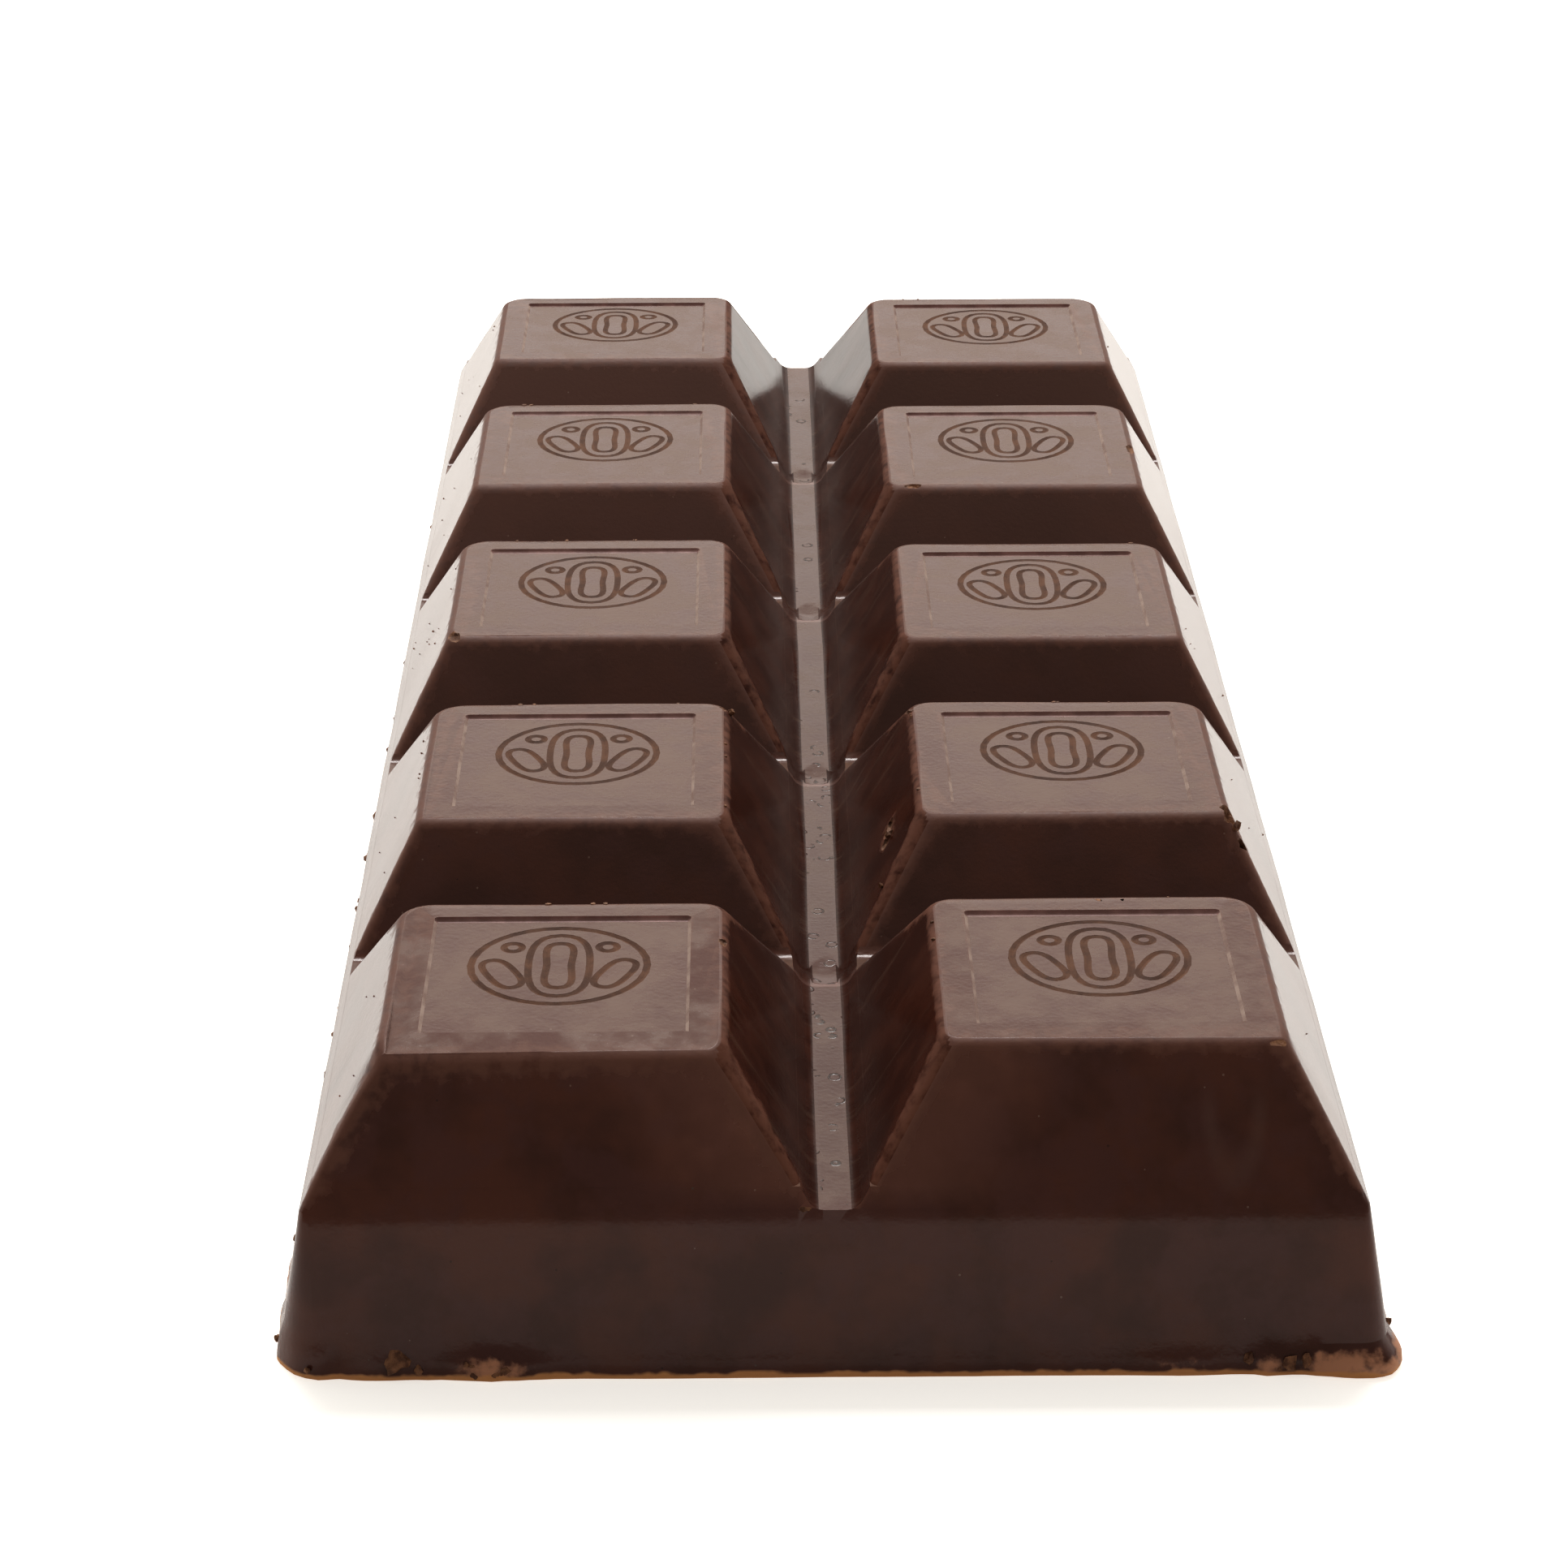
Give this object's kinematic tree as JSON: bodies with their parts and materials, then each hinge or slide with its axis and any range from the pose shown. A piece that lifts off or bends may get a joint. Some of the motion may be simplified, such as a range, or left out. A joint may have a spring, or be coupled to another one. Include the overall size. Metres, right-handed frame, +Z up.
{
  "type": "chocolate bar",
  "caption": "Moulded dark chocolate bar: tapered square blocks with recessed top panels, parted by V grooves, on a thick flat-backed slab.",
  "frame": {"origin": "middle of the flat underside, at the base of the bounding box", "axes": "+Z up out of the blocks' tops, +Y along the length towards the far end, +X across to the right"},
  "size_m": [0.045, 0.1111, 0.0125],
  "materials": {
    "chocolate": "satin dark chocolate with a little bloom and worn edges"
  },
  "bodies": {
    "root": {"bar": "chocolate"}
  },
  "joints": []
}
